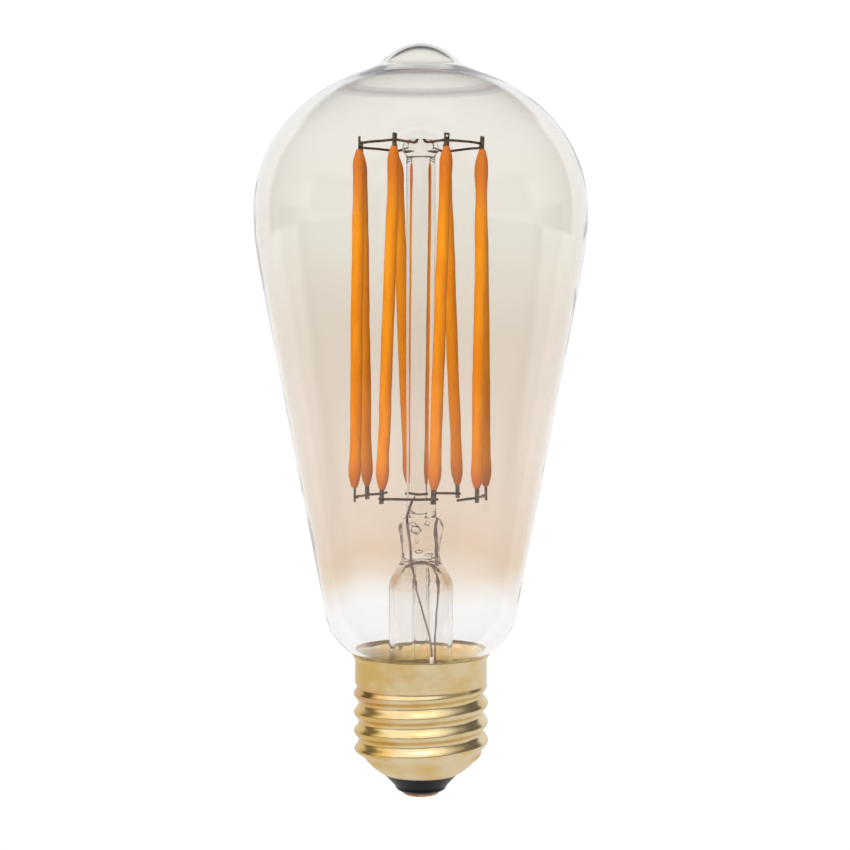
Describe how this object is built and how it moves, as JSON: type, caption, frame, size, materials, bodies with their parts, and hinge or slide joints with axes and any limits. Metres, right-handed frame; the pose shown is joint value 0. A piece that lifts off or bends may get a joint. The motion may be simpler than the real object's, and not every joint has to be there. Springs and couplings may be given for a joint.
{
  "type": "LED filament lamp",
  "caption": "Squirrel-cage LED filament lamp with amber-tinted glass, a ring of upright filaments on a glass stem and a brass E27 screw cap.",
  "frame": {"origin": "middle of the centre contact's flat face, the lowest point of the screw cap", "axes": "+Z runs along the lamp from the centre contact to the pip at the top of the glass; -Y faces the side that shows the left lead wire"},
  "size_m": [0.064, 0.064, 0.145],
  "materials": {
    "tinted_glass": "clear blown glass with an amber tint that fades near the cap",
    "stem_glass": "clear drawn glass, lumpy at the press",
    "nickel_wire": "oxidised nickel-plated wire",
    "seal_metal": "reddish sealing wire inside the glass",
    "copper_wire": "copper wire",
    "phosphor": "orange phosphor in matt silicone",
    "strip_steel": "stamped strip, satin",
    "led_die": "small glossy dies",
    "cap_brass": "rolled and polished brass",
    "black_insulator": "black glassy insulator, glossy",
    "contact_copper": "copper-coloured contact, satin",
    "cement": "baked basing cement, matt",
    "circuit_board": "glass-fibre board with solder resist",
    "black_moulding": "moulded epoxy",
    "capacitor_can": "drawn can, bright",
    "capacitor_film": "shrink sleeve",
    "ferrite": "sintered ferrite, matt",
    "resistor_lacquer": "lacquered body",
    "sleeving": "woven glass-fibre sleeving",
    "solder": "bright solder"
  },
  "bodies": {
    "root": {"glass_envelope": "tinted_glass", "stem_flare": "stem_glass", "stem_column": "stem_glass", "exhaust_tube": "stem_glass", "left_inner_lead": "nickel_wire", "left_seal_wire": "seal_metal", "left_outer_lead": "copper_wire", "right_inner_lead": "nickel_wire", "right_seal_wire": "seal_metal", "right_outer_lead": "copper_wire", "top_wire_back_left": "nickel_wire", "top_wire_front_left": "nickel_wire", "top_wire_front_right": "nickel_wire", "top_wire_back_right": "nickel_wire", "bottom_wire_left": "nickel_wire", "bottom_wire_front": "nickel_wire", "bottom_wire_right": "nickel_wire", "bottom_wire_back": "nickel_wire", "filament_1": "phosphor", "filament_2": "phosphor", "filament_3": "phosphor", "filament_4": "phosphor", "filament_5": "phosphor", "filament_6": "phosphor", "filament_7": "phosphor", "filament_8": "phosphor", "filament_strip_1": "strip_steel", "filament_strip_2": "strip_steel", "filament_strip_3": "strip_steel", "filament_strip_4": "strip_steel", "filament_strip_5": "strip_steel", "filament_strip_6": "strip_steel", "filament_strip_7": "strip_steel", "filament_strip_8": "strip_steel", "led_chips": "led_die", "screw_cap": "cap_brass", "cap_insulator": "black_insulator", "centre_contact": "contact_copper", "basing_cement": "cement", "driver_board": "circuit_board", "bridge_rectifier": "black_moulding", "smoothing_capacitor": "capacitor_can", "capacitor_sleeve": "capacitor_film", "driver_chip": "black_moulding", "choke_core": "ferrite", "choke_winding": "copper_wire", "fuse_resistor": "resistor_lacquer", "radio_module": "circuit_board", "mains_lead_centre": "copper_wire", "mains_lead_shell": "copper_wire", "lead_sleeve": "sleeving", "solder_joints": "solder"}
  },
  "joints": []
}
